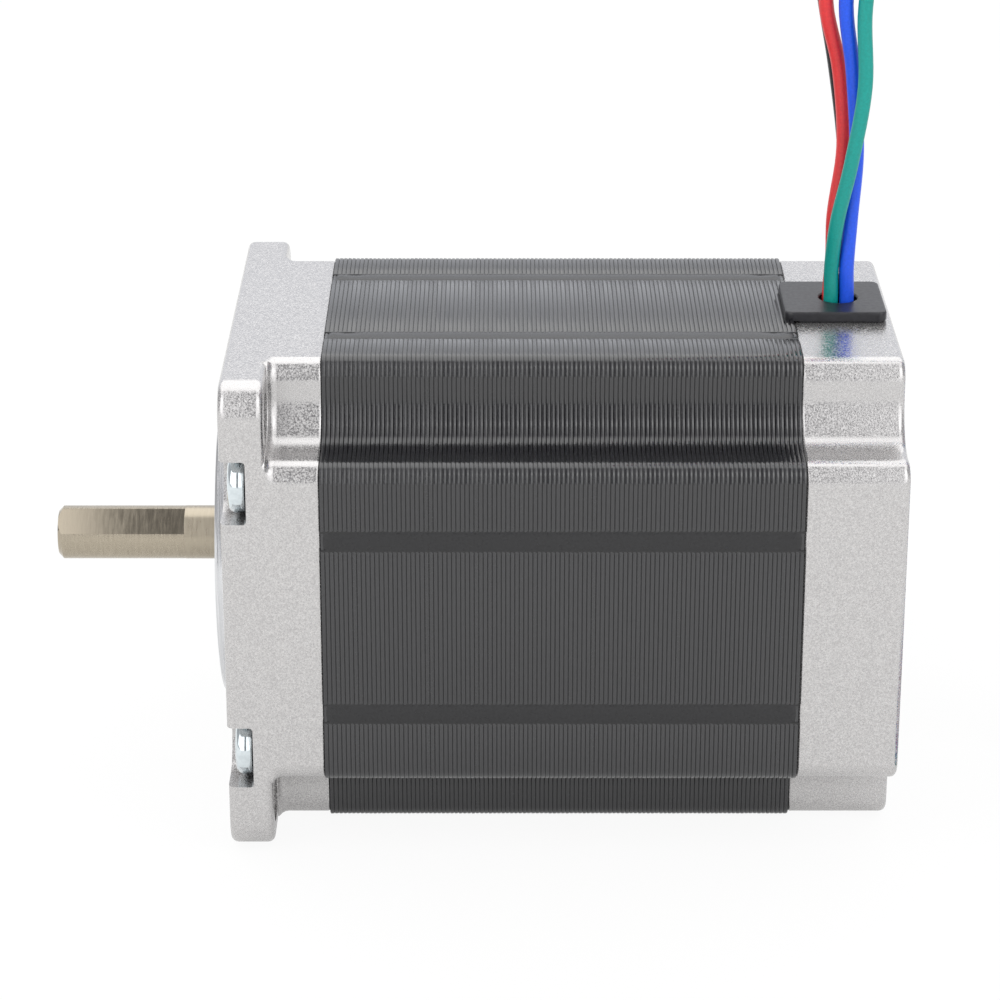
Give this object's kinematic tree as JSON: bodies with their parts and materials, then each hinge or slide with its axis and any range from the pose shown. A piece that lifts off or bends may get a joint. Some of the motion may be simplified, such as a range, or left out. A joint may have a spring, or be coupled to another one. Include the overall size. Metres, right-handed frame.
{
  "type": "stepper motor",
  "caption": "Two-phase hybrid stepper motor with a square flange, centring boss, D-cut shaft, black laminated body and free leads.",
  "frame": {"origin": "centre of the mounting hole square, where the shaft axis meets the flange's front face", "axes": "+X along the shaft axis from the flange to the rear cover, so the shaft points along -X; +Z towards the side where the leads come out"},
  "size_m": [0.1478, 0.0732, 0.1166],
  "materials": {
    "cast_aluminium": "bead blasted casting",
    "black_laminations": "satin black paint over steel laminations",
    "zinc_steel": "bright zinc plate",
    "copper_wire": "enamelled copper wire",
    "white_insulator": "moulded plastic",
    "circuit_board": "glass epoxy board",
    "tin": "tinned copper and solder",
    "black_rubber": "smooth satin rubber",
    "red_insulation": "soft PVC, semi-gloss",
    "black_insulation": "soft PVC, semi-gloss",
    "blue_insulation": "soft PVC, semi-gloss",
    "green_insulation": "soft PVC, semi-gloss",
    "ground_steel": "ground stainless shaft",
    "core_steel": "bare lamination steel, ground outside",
    "magnet": "sintered magnet",
    "brass": "turned",
    "bearing_steel": "polished bearing steel"
  },
  "bodies": {
    "stator": {"front_cover": "cast_aluminium", "rear_cover": "cast_aluminium", "stator_stack": "black_laminations", "weld_seams": "black_laminations", "assembly_screws": "zinc_steel", "phase_a_coils": "copper_wire", "phase_b_coils": "copper_wire", "front_insulator": "white_insulator", "rear_insulator": "white_insulator", "connection_board": "circuit_board", "solder_joints": "tin", "grommet": "black_rubber", "lead_red": "red_insulation", "lead_black": "black_insulation", "lead_blue": "blue_insulation", "lead_green": "green_insulation", "tinned_ends": "tin", "front_bearing_outer": "bearing_steel", "front_bearing_shields": "bearing_steel", "rear_bearing_outer": "bearing_steel", "rear_bearing_shields": "bearing_steel", "wave_washer": "bearing_steel"},
    "rotor": {"rotor_shaft": "ground_steel", "front_core_north": "core_steel", "front_core_south": "core_steel", "rear_core_south": "core_steel", "rear_core_north": "core_steel", "front_magnet": "magnet", "rear_magnet": "magnet", "rotor_spacer": "brass", "front_bearing_inner": "bearing_steel", "rear_bearing_inner": "bearing_steel"},
    "front_ball_set": {"front_bearing_balls": "bearing_steel", "front_bearing_cage": "bearing_steel"},
    "rear_ball_set": {"rear_bearing_balls": "bearing_steel", "rear_bearing_cage": "bearing_steel"}
  },
  "joints": [
    {"name": "rotor_spin", "type": "hinge", "parent": "stator", "child": "rotor", "pos_m": [0, 0, 0], "axis": [1, 0, 0], "continuous": true},
    {"name": "front_ball_orbit", "type": "hinge", "parent": "stator", "child": "front_ball_set", "pos_m": [0.00377, 0, 0], "axis": [1, 0, 0], "continuous": true},
    {"name": "rear_ball_orbit", "type": "hinge", "parent": "stator", "child": "rear_ball_set", "pos_m": [0.06947, 0, 0], "axis": [1, 0, 0], "continuous": true}
  ],
  "couplings": [
    {"joint": "front_ball_orbit", "follows": "rotor_spin", "ratio": 0.375},
    {"joint": "rear_ball_orbit", "follows": "rotor_spin", "ratio": 0.375}
  ]
}
